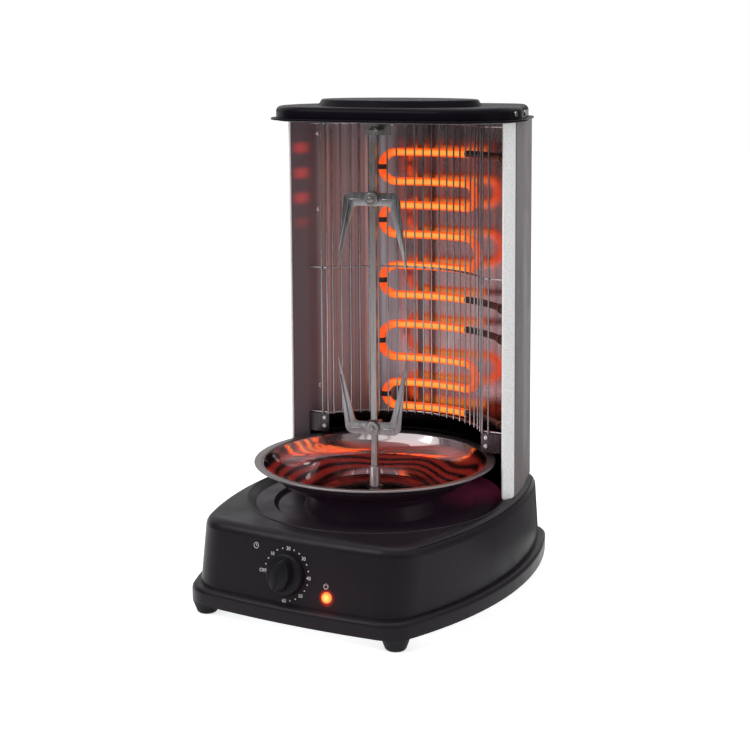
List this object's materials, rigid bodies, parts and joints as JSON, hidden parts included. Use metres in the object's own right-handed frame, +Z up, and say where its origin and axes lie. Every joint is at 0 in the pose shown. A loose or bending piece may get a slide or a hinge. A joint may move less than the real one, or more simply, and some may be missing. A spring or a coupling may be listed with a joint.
{
  "type": "electric skewer grill",
  "caption": "Upright electric grill: a turning skewer with sliding forks stands over a round drip tray, in front of a tubular heater behind a wire guard.",
  "frame": {"origin": "on the skewer axis at the surface the feet stand on, which is the middle of the underside of the bounding box", "axes": "+Z up along the skewer, +X to the right of someone facing the cooking side, +Y to the back; the cooking side and the timer face -Y"},
  "size_m": [0.279, 0.3306, 0.45],
  "materials": {
    "housing_black": "satin charcoal-black moulded plastic",
    "knob_black": "satin black",
    "foot_rubber": "matt black rubber",
    "sheet_zinc": "zinc-coated sheet",
    "screw_steel": "zinc-plated screws",
    "timer_white": "white acetal and ABS",
    "brass_part": "turned brass",
    "coil_copper": "enamelled copper winding",
    "rotor_dark": "ferrite rotor magnet",
    "lamp_amber": "amber translucent lens",
    "lamp_holder_black": "black holder",
    "steel_bright": "brushed stainless steel",
    "tray_steel": "polished stainless steel",
    "mirror_steel": "mirror-polished stainless sheet",
    "panel_grey": "warm grey painted sheet",
    "strip_light_grey": "light grey satin strip",
    "wire_chrome": "chrome-plated wire",
    "heater_glow": "steel heater tube, glowing red-orange in use",
    "heater_black": "heat-darkened steel",
    "ceramic_white": "glazed steatite ceramic"
  },
  "bodies": {
    "housing": {"base_plate": "sheet_zinc", "base_shell": "housing_black", "bearing_bracket": "panel_grey", "bearing_bush": "steel_bright", "bracket_screws": "screw_steel", "cap": "housing_black", "cap_screws": "screw_steel", "collar": "mirror_steel", "collar_screws": "screw_steel", "cord_inlet": "foot_rubber", "drive_bush": "brass_part", "edge_strip_left": "strip_light_grey", "edge_strip_right": "strip_light_grey", "foot_front_left": "foot_rubber", "foot_front_right": "foot_rubber", "foot_rear_left": "foot_rubber", "foot_rear_right": "foot_rubber", "foot_screws": "screw_steel", "guard_rings": "wire_chrome", "guard_wires": "wire_chrome", "heater_clips": "heater_black", "heater_cold_ends": "heater_black", "heater_insulators": "ceramic_white", "heater_lower": "heater_glow", "heater_strap": "sheet_zinc", "heater_upper": "heater_glow", "lamp_holder": "lamp_holder_black", "lamp_lens": "lamp_amber", "motor_case": "sheet_zinc", "motor_coil": "coil_copper", "motor_cover": "sheet_zinc", "motor_screws": "screw_steel", "plate_screws": "screw_steel", "rear_cover": "panel_grey", "rear_screws": "screw_steel", "reflector": "mirror_steel", "side_panel_left": "panel_grey", "side_panel_right": "panel_grey", "terminal_block": "ceramic_white", "timer_case": "timer_white", "timer_nut": "brass_part", "top_plate": "panel_grey", "wing_screws": "screw_steel"},
    "drive": {"output_gear": "brass_part", "drive_coupler": "steel_bright"},
    "idler": {"idler_gear": "timer_white"},
    "rotor": {"motor_rotor": "rotor_dark"},
    "spit": {"spit_shaft": "steel_bright"},
    "upper_fork": {"upper_fork": "steel_bright"},
    "lower_fork": {"lower_fork": "steel_bright"},
    "upper_thumb_screw": {"upper_thumb_screw": "steel_bright"},
    "lower_thumb_screw": {"lower_thumb_screw": "steel_bright"},
    "timer": {"timer_knob": "knob_black", "timer_shaft": "brass_part"},
    "tray": {"drip_tray": "tray_steel"}
  },
  "joints": [
    {"name": "drive_spin", "type": "hinge", "parent": "housing", "child": "drive", "pos_m": [0, 0, 0.08], "axis": [0, 0, 1], "continuous": true},
    {"name": "idler_spin", "type": "hinge", "parent": "housing", "child": "idler", "pos_m": [0.02, 0, 0.065], "axis": [0, 0, 1], "continuous": true},
    {"name": "rotor_spin", "type": "hinge", "parent": "housing", "child": "rotor", "pos_m": [0.00722, -0.00963, 0.06], "axis": [0, 0, 1], "continuous": true},
    {"name": "spit_lift", "type": "slide", "parent": "drive", "child": "spit", "axis": [0, 0, 1], "range_m": [0, 0.0088]},
    {"name": "upper_fork_slide", "type": "slide", "parent": "spit", "child": "upper_fork", "axis": [0, 0, 1], "range_m": [-0.038, 0.04]},
    {"name": "lower_fork_slide", "type": "slide", "parent": "spit", "child": "lower_fork", "axis": [0, 0, 1], "range_m": [-0.028, 0.032]},
    {"name": "upper_thumb_turn", "type": "hinge", "parent": "upper_fork", "child": "upper_thumb_screw", "pos_m": [0, 0, 0.361], "axis": [0.2079, -0.9781, 0], "range_deg": [0, 360]},
    {"name": "lower_thumb_turn", "type": "hinge", "parent": "lower_fork", "child": "lower_thumb_screw", "pos_m": [0, 0, 0.1488], "axis": [0.2079, -0.9781, 0], "range_deg": [0, 360]},
    {"name": "timer_turn", "type": "hinge", "parent": "housing", "child": "timer", "pos_m": [-0.0057, -0.1473, 0.051], "axis": [0, -0.9827, 0.1854], "range_deg": [-168, 102]},
    {"name": "tray_spin", "type": "hinge", "parent": "housing", "child": "tray", "pos_m": [0, 0, 0.0883], "axis": [0, 0, 1], "continuous": true}
  ],
  "couplings": [
    {"joint": "drive_spin", "follows": "rotor_spin", "ratio": 0.083333},
    {"joint": "idler_spin", "follows": "rotor_spin", "ratio": -0.33333}
  ]
}
